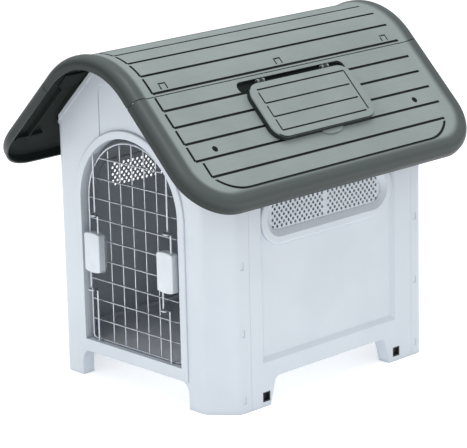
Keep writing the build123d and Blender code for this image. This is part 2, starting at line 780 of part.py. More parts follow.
def slope_grooves():
    """Plank grooves with a short leg at the front end, and the border groove."""
    y_front = -HALF_L + GROOVE_END
    y_rear = HALF_L - GROOVE_END
    half = GROOVE_WIDTH / 2
    cuts = []
    before = SEAM_U - GROOVE_LEG_GAP / 2
    end = EAVE_U - BEAD_FOOT
    for row in slope_groove_rows():
        past = max(0.0, row - (end - GROOVE_CORNER))
        inward = GROOVE_CORNER - math.sqrt(GROOVE_CORNER ** 2 - past ** 2)
        cuts.append(slope_block((row - half, row + half), (y_front + inward, y_rear - inward), GROOVE_CUT))
        leg_y = (y_front - half + inward, y_front + half + inward)
        cuts.append(slope_block((before + GROOVE_LEG_GAP, row), leg_y, GROOVE_CUT))
        before = row
    outer = rounded_end(y_rear + half, SEAM_U, end + half, GROOVE_CORNER + half)
    inner = rounded_end(y_rear - half, SEAM_U - 1, end - half, GROOVE_CORNER - half)
    border = extrude(slope_plane(-GROOVE_DEPTH) * (outer - inner), amount=GROOVE_DEPTH + 1)
    ring_u = slope_groove_rows()[-1] + GROOVE_LEG_GAP
    cuts.append(border & slope_block((ring_u, 2 * EAVE_U), (-HALF_L, HALF_L), (-ROOF_SKIRT, ROOF_SKIRT)))
    return cuts


def slope_shell():
    """A slope panel's skin: bead and skirt on three sides, lap at the seam."""
    start = SEAM_U + ROOF_SEAM
    solid = extrude(slope_plane(-ROOF_SKIRT) * slope_outline(0, start), amount=ROOF_SKIRT + BEAD_RISE)
    flat = slope_plane()
    top = top_edges(solid, slope_plane(BEAD_RISE))
    rim = [edge for edge in top if flat.to_local_coords(edge @ 0.5).X > start + 1]
    solid = fillet(rim, BEAD_ROUND)
    crest = slope_plane(BEAD_RISE + OVERCUT) * slope_outline(BEAD_CREST, start - 20)
    foot = slope_plane(0) * slope_outline(BEAD_FOOT, start - 20)
    solid = solid - loft([crest, foot], ruled=True)
    hollow = slope_outline(SKIRT_WALL, start - 20)
    solid = solid - extrude(slope_plane(-ROOF_SKIRT - 1) * hollow, amount=ROOF_SKIRT + 1 - ROOF_THICK)
    lap_y = (-HALF_L + 2 * BEAD_CREST, HALF_L - 2 * BEAD_CREST)
    lap_top = -ROOF_THICK - SEAM_GAP
    lap = slope_block((start - LAP, start + LAP / 2), lap_y, (lap_top - LAP_THICK, lap_top))
    step = slope_block((start, start + LAP / 2), lap_y, (lap_top - LAP_THICK, -ROOF_THICK / 2))
    return solid + lap + step


def slope_underside():
    """Rails that land on the gables and the side wall, and stiffening ribs."""
    low = -SUPPORT_DROP
    high = -ROOF_THICK + RAIL_ROOT
    pieces = []
    last_u = HALF_W / RISE + SUPPORT_DROP
    for y in (-HALF_D + RAIL_THICK / 4, HALF_D - RAIL_THICK / 4):
        pieces.append(slope_block((SEAM_U + LAP / 2, (HALF_W - CORNER_X) / RISE),
                                  (y - RAIL_THICK / 2, y + RAIL_THICK / 2), (low, high)))
        pieces.append(slope_round(SCREW_U, math.copysign(SCREW_Y, y), BOSS_R, (low, high)))
    wall_u = (HALF_W - SIDE_THICK / 2) / RISE - low
    rail_u = (wall_u - RAIL_THICK / 2, wall_u + RAIL_THICK / 2)
    pieces.append(slope_block(rail_u, (-FIELD_HALF, FIELD_HALF), (low, high)))
    half = RIB_THICK / 2
    rib_y = HALF_D + GABLE_OVERHANG * RIB_PLACE
    for y in (-rib_y, rib_y):
        pieces.append(slope_block((SEAM_U + LAP, last_u), (y - half, y + half), (low, high)))
    for u in (LID_U + LID_WIDTH + LAP, EAVE_U - ROOF_CORNER + LAP / 2):
        for sign in (-1, 1):
            y = sorted((sign * (HALF_D + RAIL_THICK), sign * (HALF_L - BEAD_CREST)))
            pieces.append(slope_block((u - half, u + half), y, (low, high)))
    return pieces


def screw_seats():
    """Counterbored holes for the two screws of a slope panel."""
    cuts = []
    for y in (-SCREW_Y, SCREW_Y):
        cuts.append(slope_round(SCREW_U, y, SCREW_RECESS_R, (-SCREW_RECESS, 1)))
        cuts.append(slope_round(SCREW_U, y, SCREW_SHANK_R, (-2 * ROOF_SKIRT, 0)))
    return cuts


def slope_panel():
    """A slope panel without a hatch."""
    panel = slope_shell()
    for piece in slope_underside():
        panel = panel + piece
    for cut in slope_grooves() + screw_seats():
        panel = panel - cut
    return panel


def lid_region(inset):
    """The lid's rounded outline, drawn on the slope."""
    corner = max(LID_CORNER - inset, LID_LEAST_CORNER)
    shape = RectangleRounded(LID_WIDTH - 2 * inset, LID_LENGTH - 2 * inset, corner)
    return Pos(LID_MID_U, LID_Y) * shape


def hinge_places():
    """The two places along the lid's top edge that carry a hinge."""
    return (HINGE_Y - HINGE_SPACING / 2, HINGE_Y + HINGE_SPACING / 2)


def hinge_axis_rod(y_from, y_to, radius):
    """A cylinder on the lid's hinge axis."""
    plane = slope_plane()
    start = plane.from_local_coords(Vector(HINGE_U, y_from, HINGE_W))
    end = plane.from_local_coords(Vector(HINGE_U, y_to, HINGE_W))
    return rod_between(tuple(start), tuple(end), radius)


def hatch_panel():
    """The slope panel with the hatch opening, its curb and the hinge well."""
    panel = slope_panel()
    well_u = (WELL_START_U, LID_U + HATCH_INSET - CURB_WALL - WELL_CURB_GAP)
    well_y = (LID_Y - LID_LENGTH / 2 - WELL_MARGIN, LID_Y + LID_LENGTH / 2 + WELL_MARGIN)
    under = slope_block((well_u[0] - WALL, well_u[1] + WALL), (well_y[0] - WALL, well_y[1] + WALL),
                        (-WELL_DEPTH - WELL_FLOOR, -ROOF_THICK / 2))
    panel = panel + under
    well = RectangleRounded(well_u[1] - well_u[0], well_y[1] - well_y[0], WELL_CORNER)
    well = Pos((well_u[0] + well_u[1]) / 2, (well_y[0] + well_y[1]) / 2) * well
    panel = panel - extrude(slope_plane(-WELL_DEPTH) * well, amount=WELL_DEPTH + 1)
    curb = slope_plane(-ROOF_THICK) * lid_region(HATCH_INSET - CURB_WALL)
    panel = panel + extrude(curb, amount=CURB_HEIGHT + ROOF_THICK)
    panel = panel - extrude(slope_plane(-ROOF_SKIRT) * lid_region(HATCH_INSET), amount=2 * ROOF_SKIRT)
    side = HINGE_ARM_WIDTH / 2 + HINGE_SIDE_GAP
    for y in hinge_places():
        for sign in (-1, 1):
            near = y + sign * side
            far = near + sign * HINGE_EAR
            ear_y = (min(near, far), max(near, far))
            ear = slope_block((HINGE_U - HINGE_ARM_R, HINGE_U + HINGE_ARM_R), ear_y, (-WELL_DEPTH, HINGE_W))
            ear = ear + hinge_axis_rod(ear_y[0], ear_y[1], HINGE_ARM_R)
            panel = panel + ear
        reach = side + HINGE_EAR + 1
        panel = panel - hinge_axis_rod(y - reach, y + reach, HINGE_PIN_R + HINGE_FIT)
    return panel


def lid_grooves():
    """The lid's three plank lines with their short end legs."""
    half = LID_GROOVE_WIDTH / 2
    low = LID_TOP - LID_GROOVE_DEPTH
    y0 = LID_Y - LID_LENGTH / 2 + LID_BORDER
    y1 = LID_Y + LID_LENGTH / 2 - LID_BORDER
    u0 = LID_U + LID_BORDER * 0.75
    u1 = LID_U + LID_WIDTH - LID_BORDER * 0.75
    step = (u1 - u0) / 3
    cuts = [slope_block((u0 - half, u0 + half), (y0, y1), (low, LID_TOP + 1))]
    cuts.append(slope_block((u0, u1 - half), (y1 - half, y1 + half), (low, LID_TOP + 1)))
    for index in range(3):
        row = u0 + step * (index + 1)
        start = u0 + step * index + GROOVE_LEG_GAP
        cuts.append(slope_block((row - half, row + half), (y0, y1 - LID_BORDER / 3), (low, LID_TOP + 1)))
        cuts.append(slope_block((start, row), (y0 - half, y0 + half), (low, LID_TOP + 1)))
    return cuts


def skylight_lid():
    """The hatch lid, its finger tab and the two arms with their hinge pins."""
    lid = extrude(slope_plane(LID_LIFT) * lid_region(0), amount=LID_TOP - LID_LIFT)
    lid = fillet(top_edges(lid, slope_plane(LID_TOP)), LID_WALL)
    lid = lid - extrude(slope_plane(0) * lid_region(LID_WALL), amount=LID_TOP - LID_PLATE)
    for cut in lid_grooves():
        lid = lid - cut
    edge = LID_U + LID_WIDTH
    tab_y = LID_Y + LID_WALL * 4
    tab = slope_plane(LID_LIFT) * (Pos(edge, tab_y) * Ellipse(TAB_REACH, TAB_WIDTH / 2))
    outside = slope_block((edge - LID_WALL, edge + 2 * TAB_REACH),
                          (LID_Y - TAB_WIDTH, LID_Y + 2 * TAB_WIDTH), (0, LID_TOP))
    lid = lid + (extrude(tab, amount=TAB_THICK) & outside)
    for y in hinge_places():
        arm_y = (y - HINGE_ARM_WIDTH / 2, y + HINGE_ARM_WIDTH / 2)
        arm = slope_block((HINGE_U, LID_U + LID_WALL), arm_y, (HINGE_W, HINGE_W + HINGE_ARM_R))
        arm = arm + hinge_axis_rod(arm_y[0], arm_y[1], HINGE_ARM_R)
        reach = HINGE_ARM_WIDTH / 2 + HINGE_EAR
        arm = arm + hinge_axis_rod(y - reach, y + reach, HINGE_PIN_R)
        lid = lid + arm
    return lid


def roof_screw(y):
    """One self-tapping screw with a domed head, for the right slope."""
    head = slope_round(SCREW_U, y, SCREW_HEAD_R, (-SCREW_RECESS, -SCREW_RECESS + SCREW_HEAD_H))
    shank = slope_round(SCREW_U, y, SCREW_SHANK_R, (-SCREW_RECESS - SCREW_LENGTH, -SCREW_RECESS))
    long = SCREW_CROSS / 2
    thin = SCREW_SLOT / 2
    deep = (-SCREW_RECESS + SCREW_HEAD_H - SCREW_SLOT, 0)
    down = slope_block((SCREW_U - long, SCREW_U + long), (y - thin, y + thin), deep)
    over = slope_block((SCREW_U - thin, SCREW_U + thin), (y - long, y + long), deep)
    return head + shank - down - over


# ================================================================ wire door
def frame_half_at(z, inset):
    """Half the clear width inside the door frame at a height."""
    radius = FRAME_HALF - inset
    if z <= OPENING_SPRING_Z:
        return radius
    return math.sqrt(radius ** 2 - (z - OPENING_SPRING_Z) ** 2)


def door_frame_wire():
    """The closed frame wire: straight sides, square foot, half-round top."""
    bend = 4 * FRAME_WIRE_R
    half = FRAME_HALF
    left = Line((-half, OPENING_SPRING_Z), (-half, FRAME_BOTTOM_Z + bend))
    foot = Line((-half + bend, FRAME_BOTTOM_Z), (half - bend, FRAME_BOTTOM_Z))
    right = Line((half, FRAME_BOTTOM_Z + bend), (half, OPENING_SPRING_Z))
    near = bend * (1 - RISE)
    left_bend = ThreePointArc((-half, FRAME_BOTTOM_Z + bend), (-half + near, FRAME_BOTTOM_Z + near),
                              (-half + bend, FRAME_BOTTOM_Z))
    right_bend = ThreePointArc((half - bend, FRAME_BOTTOM_Z), (half - near, FRAME_BOTTOM_Z + near),
                               (half, FRAME_BOTTOM_Z + bend))
    crown = ThreePointArc((half, OPENING_SPRING_Z), (0, OPENING_SPRING_Z + half), (-half, OPENING_SPRING_Z))
    lower = left.edges() + left_bend.edges() + foot.edges() + right_bend.edges()
    route = Wire(lower + right.edges() + crown.edges())
    route = side_plane(MESH_Y) * route
    start = route @ 0.0
    section = Plane(origin=start, z_dir=route % 0.0) * Circle(FRAME_WIRE_R)
    return sweep(section, path=route)


def door_column(x):
    """One upright mesh wire, butted to the frame at both ends."""
    inset = FRAME_WIRE_R + WELD_GAP
    top = OPENING_SPRING_Z + math.sqrt((FRAME_HALF - inset) ** 2 - (abs(x) + MESH_WIRE_R) ** 2)
    return upright(x, COLUMN_Y, (FRAME_BOTTOM_Z + inset, top), MESH_WIRE_R)


def door_row(z):
    """One cross wire, butted to the frame at both ends."""
    reach = frame_half_at(z + MESH_WIRE_R, FRAME_WIRE_R + WELD_GAP)
    return rod_between((-reach, ROW_Y, z), (reach, ROW_Y, z), MESH_WIRE_R)


# ================================================================ latches
def grip_cover(x):
    """The latch housing on the door: two bores, each guiding one rod."""
    low = LATCH_Z - GRIP_HEIGHT / 2
    high = LATCH_Z + GRIP_HEIGHT / 2
    points = Polyline((x - GRIP_WIDTH / 2, high), (x - GRIP_WIDTH / 2, low))
    foot = ThreePointArc((x - GRIP_WIDTH / 2, low), (x, low - GRIP_CROWN / 2), (x + GRIP_WIDTH / 2, low))
    up = Line((x + GRIP_WIDTH / 2, low), (x + GRIP_WIDTH / 2, high))
    head = ThreePointArc((x + GRIP_WIDTH / 2, high), (x, high + GRIP_CROWN / 2), (x - GRIP_WIDTH / 2, high))
    face = make_face(points.edges() + foot.edges() + up.edges() + head.edges())
    cover = across(face, GRIP_FRONT_Y, GRIP_BACK_Y)
    cover = fillet(cover.edges().filter_by(Axis.Y), GRIP_ROUND)
    cover = fillet(top_edges(cover, side_plane(GRIP_FRONT_Y)), GRIP_FACE_ROUND)
    walls = (low + GRIP_END_WALL, high - GRIP_END_WALL)
    for sign in (1, -1):
        rod_x = x + sign * ROD_OFFSET
        cover = cover - upright(rod_x, ROD_INNER_Y, walls, BORE_R)
        guide = (LATCH_Z, high + 2 * GRIP_CROWN) if sign > 0 else (low - 2 * GRIP_CROWN, LATCH_Z)
        cover = cover - upright(rod_x, ROD_INNER_Y, guide, ROD_R + ROD_FIT)
    return cover


def grip_back(x):
    """The plate behind the mesh that clamps the housing through it."""
    y = COLUMN_Y + MESH_WIRE_R + SEAT_GAP
    size = (GRIP_WIDTH - 4 * GRIP_WALL, GRIP_BACK, GRIP_HEIGHT - 4 * GRIP_WALL)
    plate = Pos(x, y + GRIP_BACK / 2, LATCH_Z) * Box(*size)
    plate = fillet(plate.edges().filter_by(Axis.Y), GRIP_ROUND)
    for sign in (-1, 1):
        z = LATCH_Z + sign * GRIP_POST_SPACING / 2
        plate = plate + rod_between((x, GRIP_BACK_Y, z), (x, y + 1, z), GRIP_POST_R)
    return plate


def latch_rod(x, sign):
    """A latch rod: bolt end, finger loop and guided end. sign +1 is the upper rod."""
    low_stop = LATCH_Z - sign * (GRIP_HEIGHT / 2 - GRIP_END_WALL)
    guided_end = low_stop + sign * SPRING_LENGTH
    loop_z = LATCH_Z + sign * (GRIP_HEIGHT / 2 + LOOP_GAP)
    if sign > 0:
        bolt_end = ARCH_Z + ROD_ENTRY
    else:
        bolt_end = SILL_TOP_Z - ROD_ENTRY
    inner_x = x + sign * ROD_OFFSET
    front = ROD_OUTER_Y - LOOP_REACH
    points = [
        (x, ROD_OUTER_Y, bolt_end),
        (x, ROD_OUTER_Y, loop_z),
        (x, front, loop_z),
        (inner_x, front, loop_z),
        (inner_x, ROD_INNER_Y, loop_z),
        (inner_x, ROD_INNER_Y, guided_end),
    ]
    route = FilletPolyline(*points, radius=LOOP_BEND)
    section = Plane(origin=points[0], z_dir=(0, 0, -sign)) * Circle(ROD_R)
    rod = sweep(section, path=route)
    collar = upright(inner_x, ROD_INNER_Y, (guided_end, guided_end + sign * COLLAR_THICK), COLLAR_R)
    return rod + collar


def latch_spring(x, sign):
    """The coil spring that pushes a latch rod outward."""
    stop = LATCH_Z - sign * (GRIP_HEIGHT / 2 - GRIP_END_WALL)
    room = SPRING_LENGTH - 2 * SEAM_GAP - 2 * SPRING_WIRE
    coil = Helix(pitch=room / SPRING_TURNS, height=room, radius=SPRING_R)
    start = Plane(origin=coil @ 0, z_dir=coil % 0)
    spring = sweep(start * Circle(SPRING_WIRE), path=coil)
    base = min(stop, stop + sign * SPRING_LENGTH) + SEAM_GAP + SPRING_WIRE
    return Pos(x + sign * ROD_OFFSET, ROD_INNER_Y, base) * spring


# ================================================================ all pieces
def all_pieces():
    """Every node of the object by name."""
    rear = turned(gable_panel(REAR_WRAP, REAR_CORNER, SNAP_REAR_STEP, False))
    right_wall = side_panel()
    pieces = {
        "front_panel": gable_panel(FRONT_WRAP, FRONT_CORNER, SNAP_FRONT_STEP, True),
        "rear_panel": rear,
        "side_panel_right": right_wall,
        "side_panel_left": flipped(right_wall),
        "vent_grille_right": vent_grille(-HALF_D),
        "vent_grille_left": flipped(vent_grille(GRILLE_LEFT_START)),
        "floor_tray": floor_tray(),
        "roof_ridge_panel": roof_ridge_panel(),
        "roof_slope_right": hatch_panel(),
        "roof_slope_left": flipped(slope_panel()),
        "skylight_lid": skylight_lid(),
        "door_frame_wire": door_frame_wire(),
    }
    plugs = [leg_plug(y) for y in PLUG_Y]
    pieces["leg_plugs"] = Compound(children=plugs + [flipped(plug) for plug in plugs])
    screws = [roof_screw(-SCREW_Y), roof_screw(SCREW_Y)]
    pieces["roof_screws"] = Compound(children=screws + [flipped(screw) for screw in screws])
    for index in range(MESH_COLUMNS):
        x = (index - (MESH_COLUMNS - 1) / 2) * MESH_PITCH_X
        pieces["door_column_%d" % (index + 1)] = door_column(x)
    for index in range(MESH_ROWS):
        pieces["door_row_%d" % (index + 1)] = door_row(FRAME_BOTTOM_Z - 1 + MESH_PITCH_Z * (index + 1))
    for name, x in (("left", -LATCH_X), ("right", LATCH_X)):
        pieces["grip_cover_" + name] = grip_cover(x)
        pieces["grip_back_" + name] = grip_back(x)
        for level, sign in (("upper", 1), ("lower", -1)):
            pieces["latch_rod_%s_%s" % (level, name)] = latch_rod(x, sign)
            pieces["latch_spring_%s_%s" % (level, name)] = latch_spring(x, sign)
    return pieces


os.makedirs("parts", exist_ok=True)
for node, shape in all_pieces().items():
    export_step(shape, "parts/%s.step" % node)
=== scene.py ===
import math

import bpy
from mathutils import Matrix, Vector


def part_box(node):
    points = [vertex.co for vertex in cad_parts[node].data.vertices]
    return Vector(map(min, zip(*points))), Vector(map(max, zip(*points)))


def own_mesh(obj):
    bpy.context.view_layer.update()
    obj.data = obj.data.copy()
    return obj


# A moulded kennel: looks for the CAD pieces, studio light and camera.
# Metres, +Z up, the door faces -Y, the ridge runs along Y.

# ---------------------------------------------------------------- camera
CAMERA_AZIMUTH = 46.298
CAMERA_ELEVATION = 15.318
CAMERA_ROLL = -1.348
CAMERA_DISTANCE = 4.5903
CAMERA_AIM_RIGHT = -0.0116
CAMERA_AIM_UP = -0.0295
AIM_HEIGHT = 0.3
LENS = 183.49
SENSOR = 36.0
FARTHEST_SEEN = 200.0

# ---------------------------------------------------------------- light
SKY_AT_HORIZON = 0.30
SKY_OVERHEAD = 1.20
FLOOR_GLOW = 0.42
FLOOR_REACH = 40.0
KEY_PLACE = (-0.5, -3.2, 1.1)
KEY_POWER = 11.0
TOP_PLACE = (0.8, -0.3, 3.6)
TOP_POWER = 30.0
LIGHT_SIZE = 1.6

# ---------------------------------------------------------------- roof layout, from the CAD
ROOF_PLANE_SUM = 0.718
ROOF_HALF_LENGTH = 0.375
ROOF_END_U = 0.4313
ROOF_CORNER = 0.100
RIDGE_RADIUS = 0.157
RIDGE_CENTRE_Z = 0.49597
RIM_CREST = 0.024
RIM_FOOT = 0.038
SKIRT_WALL = 0.0045
UNDERSIDE = -0.0045
GROOVE_TOP = -0.0003
GROOVE_FLOOR = -0.0028
LID_SIDE = -0.0030
CAVITY_REACH = 0.012
LID_TOP = 0.014
LID_TOP_EDGE_U = 0.203
LID_LOW_EDGE_U = 0.325
RIM_SHADE_DEPTH = 0.011
RIM_SHADE_TOP = 0.002
LID_BORDER = 0.008
BORDER_FADE = 0.001

# ---------------------------------------------------------------- surface texture
FIBRE_SCALE = 420.0
FIBRE_STRETCH = (1.0, 0.06, 1.0)
ROOF_SPARK_SCALE = 1300.0
SOFT_EDGE = 0.0008
WALL_EDGE = 0.0012
ROOF_EDGE = 0.0010
# Share by which edges are made paler: partly rubbed wear, partly painted highlight.
WEAR_AND_HIGHLIGHT_PALER = 1.12
TRAY_SHADE = 0.88
ALONG_Z = (1.0, 1.0, 0.05)
ALONG_X = (0.05, 1.0, 1.0)
EVEN = (1.0, 1.0, 1.0)

# ---------------------------------------------------------------- colours, linear
WALL_COLOUR = (0.640, 0.690, 0.745, 1)
WALL_SHADE = (0.605, 0.655, 0.710, 1)
PLANK_COLOUR = (0.280, 0.322, 0.316, 1)
PLANK_SHADE = (0.250, 0.289, 0.283, 1)
# Paler plank and lid edges: partly rubbed wear, partly painted highlight.
PLANK_EDGE_WEAR_AND_HIGHLIGHT = (0.42, 0.47, 0.46, 1)
# Painted shade: the rim and the lid's sides are painted darker than the planks.
PAINTED_SIDE_SHADE = (0.014, 0.021, 0.020, 1)
# Painted highlight along the top of the rim's bead.
RIM_PAINTED_HIGHLIGHT = (0.066, 0.081, 0.078, 1)
# Paler rim edges: partly rubbed wear, partly painted highlight.
RIM_EDGE_WEAR_AND_HIGHLIGHT = (0.09, 0.11, 0.108, 1)
# Painted shade on the groove floors.
GROOVE_PAINTED_SHADE = (0.003, 0.004, 0.004, 1)
# Painted shade on the roof's underside.
UNDERSIDE_PAINTED_SHADE = (0.010, 0.016, 0.014, 1)
FLOOR_TRAY_COLOUR = (0.78, 0.82, 0.87, 1)
STEEL_COLOUR = (0.62, 0.65, 0.70, 1)
STEEL_SHADE = (0.40, 0.42, 0.46, 1)
SPRING_COLOUR = (0.42, 0.42, 0.43, 1)
GRIP_COLOUR = (0.73, 0.77, 0.81, 1)
BLACK_COLOUR = (0.012, 0.017, 0.024, 1)
# Painted shade colour for the walls' creases and corners.
CREASE_SHADE_COLOUR = (0.30, 0.35, 0.42, 1)
SCREW_COLOUR = (0.03, 0.03, 0.032, 1)
GROUND_COLOUR = (0.92, 0.92, 0.92, 1)
GROUND_SHADE = (0.88, 0.88, 0.88, 1)
SKY_COLOUR = (0.97, 0.985, 1.0, 1)


class Shader:
    """A node material with short helpers for the maths that the surfaces share."""

    def __init__(self, name, roughness, metallic=0.0):
        self.material = bpy.data.materials.new(name)
        self.material.use_nodes = True
        self.nodes = self.material.node_tree.nodes
        self.links = self.material.node_tree.links
        self.surface = self.nodes["Principled BSDF"]
        self.surface.inputs["Metallic"].default_value = metallic
        self.surface.inputs["Roughness"].default_value = roughness
        self.place = self.nodes.new("ShaderNodeTexCoord").outputs["Object"]

    def join(self, value, socket):
        if isinstance(value, bpy.types.NodeSocket):
            self.links.new(value, socket)
        else:
            socket.default_value = value

    def math(self, operation, first, second=0.0):
        node = self.nodes.new("ShaderNodeMath")
        node.operation = operation
        self.join(first, node.inputs[0])
        self.join(second, node.inputs[1])
        return node.outputs[0]

    def ramp(self, value, low, high, start=0.0, end=1.0):
        node = self.nodes.new("ShaderNodeMapRange")
        node.interpolation_type = "SMOOTHSTEP"
        self.join(value, node.inputs["Value"])
        node.inputs["From Min"].default_value = low
        node.inputs["From Max"].default_value = high
        node.inputs["To Min"].default_value = start
        node.inputs["To Max"].default_value = end
        return node.outputs["Result"]

    def mix(self, amount, first, second):
        node = self.nodes.new("ShaderNodeMix")
        node.data_type = "RGBA"
        self.join(amount, node.inputs["Factor"])
        self.join(first, node.inputs["A"])
        self.join(second, node.inputs["B"])
        return node.outputs["Result"]

    def noise(self, scale, detail=3.0, stretch=EVEN):
        mapping = self.nodes.new("ShaderNodeMapping")
        mapping.inputs["Scale"].default_value = stretch
        self.links.new(self.place, mapping.inputs["Vector"])
        node = self.nodes.new("ShaderNodeTexNoise")
        node.inputs["Scale"].default_value = scale
        node.inputs["Detail"].default_value = detail
        self.links.new(mapping.outputs["Vector"], node.inputs["Vector"])
        return node.outputs["Fac"]

    def axes(self):
        node = self.nodes.new("ShaderNodeSeparateXYZ")
        self.links.new(self.place, node.inputs["Vector"])
        return node.outputs

    def edges(self, radius):
        """0 on flat surfaces and 1 on outer and inner corners tighter than the radius."""
        bevel = self.nodes.new("ShaderNodeBevel")
        bevel.samples = 4
        bevel.inputs["Radius"].default_value = radius
        geometry = self.nodes.new("ShaderNodeNewGeometry")
        dot = self.nodes.new("ShaderNodeVectorMath")
        dot.operation = "DOT_PRODUCT"
        self.links.new(bevel.outputs["Normal"], dot.inputs[0])
        self.links.new(geometry.outputs["Normal"], dot.inputs[1])
        return self.ramp(dot.outputs["Value"], 0.98, 0.75)

    def cavity(self, reach):
        """1 in creases and corners that little light reaches, 0 on open surfaces."""
        node = self.nodes.new("ShaderNodeAmbientOcclusion")
        node.samples = 6
        node.inputs["Distance"].default_value = reach
        return self.ramp(node.outputs["AO"], 0.92, 0.35)

    def bump(self, height, strength, distance, soft_edge=0.0):
        node = self.nodes.new("ShaderNodeBump")
        node.inputs["Strength"].default_value = strength
        node.inputs["Distance"].default_value = distance
        self.links.new(height, node.inputs["Height"])
        if soft_edge:
            bevel = self.nodes.new("ShaderNodeBevel")
            bevel.samples = 4
            bevel.inputs["Radius"].default_value = soft_edge
            self.links.new(bevel.outputs["Normal"], node.inputs["Normal"])
        self.links.new(node.outputs["Normal"], self.surface.inputs["Normal"])

    def colour(self, value):
        self.join(value, self.surface.inputs["Base Color"])

    def rough(self, value):
        self.join(value, self.surface.inputs["Roughness"])


def scaled(colour, share):
    """A colour made paler or darker by a share, with its alpha kept at 1."""
    return tuple(min(1.0, channel * share) for channel in colour[:3]) + (1,)


def moulded(name, light, shade, roughness, grain=1500.0, gloss=0.0, wear_and_highlight=0.25, crease_shade=0.0):
    """Moulded plastic: cloudy tone, fine spark texture, painted shade in creases and paler edges that are
    partly rubbed wear and partly painted highlight.
    """
    shader = Shader(name, roughness)
    cloud = shader.ramp(shader.noise(7.0, 4.0), 0.35, 0.65)
    tone = shader.mix(cloud, shade, light)
    # Painted shade: creases and corners darkened towards a grey-blue.
    if crease_shade:
        painted_crease_shade = shader.math("MULTIPLY", shader.cavity(CAVITY_REACH), crease_shade)
        tone = shader.mix(painted_crease_shade, tone, CREASE_SHADE_COLOUR)
    # Paler edges: partly rubbed wear, partly painted highlight.
    rubbed_and_lit = shader.math("MULTIPLY", shader.edges(WALL_EDGE), wear_and_highlight)
    shader.colour(shader.mix(rubbed_and_lit, tone, scaled(light, WEAR_AND_HIGHLIGHT_PALER)))
    fine = shader.noise(grain, 2.0)
    shader.rough(shader.ramp(fine, 0.3, 0.7, roughness - 0.06, roughness + 0.08))
    shader.bump(fine, 0.12, 0.0002, SOFT_EDGE)
    shader.surface.inputs["Coat Weight"].default_value = gloss
    shader.surface.inputs["Coat Roughness"].default_value = 0.15
    return shader.material


def lid_middle(shader, y, slope):
    """1 over the part of the lid that carries its grooves, 0 on its rounded border."""
    low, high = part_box("skylight_lid")
    front_edge = low.y + LID_BORDER
    rear_edge = high.y - LID_BORDER
    top_edge = LID_TOP_EDGE_U + LID_BORDER
    front = shader.ramp(y, front_edge, front_edge + BORDER_FADE)
    rear = shader.ramp(y, rear_edge, rear_edge - BORDER_FADE)
    top = shader.ramp(slope, top_edge, top_edge + BORDER_FADE)
    return shader.math("MULTIPLY", shader.math("MULTIPLY", front, rear), top)


def slope_place(shader):
    """The place along the roof, the height above the slope and the distance down it."""
    x, y, z = shader.axes()
    across = shader.math("ABSOLUTE", x)
    total = shader.math("SUBTRACT", shader.math("ADD", across, z), ROOF_PLANE_SUM)
    height = shader.math("MULTIPLY", total, math.sqrt(0.5))
    run = shader.math("ADD", shader.math("SUBTRACT", across, z), ROOF_PLANE_SUM)
    slope = shader.math("MULTIPLY", run, math.sqrt(0.5))
    return y, height, slope


def roof_level(shader, height, slope):
    """How far a point is above the plank surface, on the slopes and over the ridge."""
    place = shader.axes()
    across = shader.math("ABSOLUTE", place["X"])
    up = shader.math("SUBTRACT", place["Z"], RIDGE_CENTRE_Z)
    square = shader.math("ADD", shader.math("MULTIPLY", across, across), shader.math("MULTIPLY", up, up))
    crown = shader.math("SUBTRACT", shader.math("SQRT", square), RIDGE_RADIUS)
    on_slope = shader.math("GREATER_THAN", slope, RIDGE_RADIUS)
    difference = shader.math("SUBTRACT", height, crown)
    return shader.math("ADD", crown, shader.math("MULTIPLY", on_slope, difference))


def corner_reach(shader, y, slope):
    """How far a point lies outside the rectangle that joins the corner arcs' centres."""
    along = shader.math("ABSOLUTE", y)
    end_gap = shader.math("MAXIMUM", shader.math("SUBTRACT", along, ROOF_HALF_LENGTH - ROOF_CORNER), 0.0)
    eave_gap = shader.math("MAXIMUM", shader.math("SUBTRACT", slope, ROOF_END_U - ROOF_CORNER), 0.0)
    return shader.math("SQRT", shader.math("ADD", shader.math("MULTIPLY", end_gap, end_gap),
                                           shader.math("MULTIPLY", eave_gap, eave_gap)))


def groove_floors(shader, level):
    """1 on the floors of the grooves between planks, where painted shade goes."""
    return shader.math("MULTIPLY", shader.ramp(level, GROOVE_TOP, GROOVE_TOP - 0.0008),
                       shader.ramp(level, GROOVE_FLOOR - 0.0006, GROOVE_FLOOR))


def plank_tone(shader, fibres):
    """The planks' cloudy colour with fine darker fibres."""
    cloud = shader.ramp(shader.noise(9.0, 4.0), 0.3, 0.7)
    planks = shader.mix(cloud, PLANK_SHADE, PLANK_COLOUR)
    return shader.mix(shader.math("MULTIPLY", shader.ramp(fibres, 0.35, 0.65), 0.22), planks, PLANK_SHADE)


def roof_wear_and_highlight(shader, tone, edge):
    """The roof's colour with paler edges, partly rubbed wear and partly painted highlight."""
    return shader.mix(shader.math("MULTIPLY", shader.edges(ROOF_EDGE), 0.30), tone, edge)


def grained(shader, fibres):
    """The roof plastic's fibrous grain and low shine."""
    shader.surface.inputs["Specular IOR Level"].default_value = 0.35
    fine = shader.noise(ROOF_SPARK_SCALE, 2.0)
    height = shader.math("ADD", fibres, shader.math("MULTIPLY", fine, 0.6))
    shader.bump(height, 0.22, 0.0003, SOFT_EDGE)


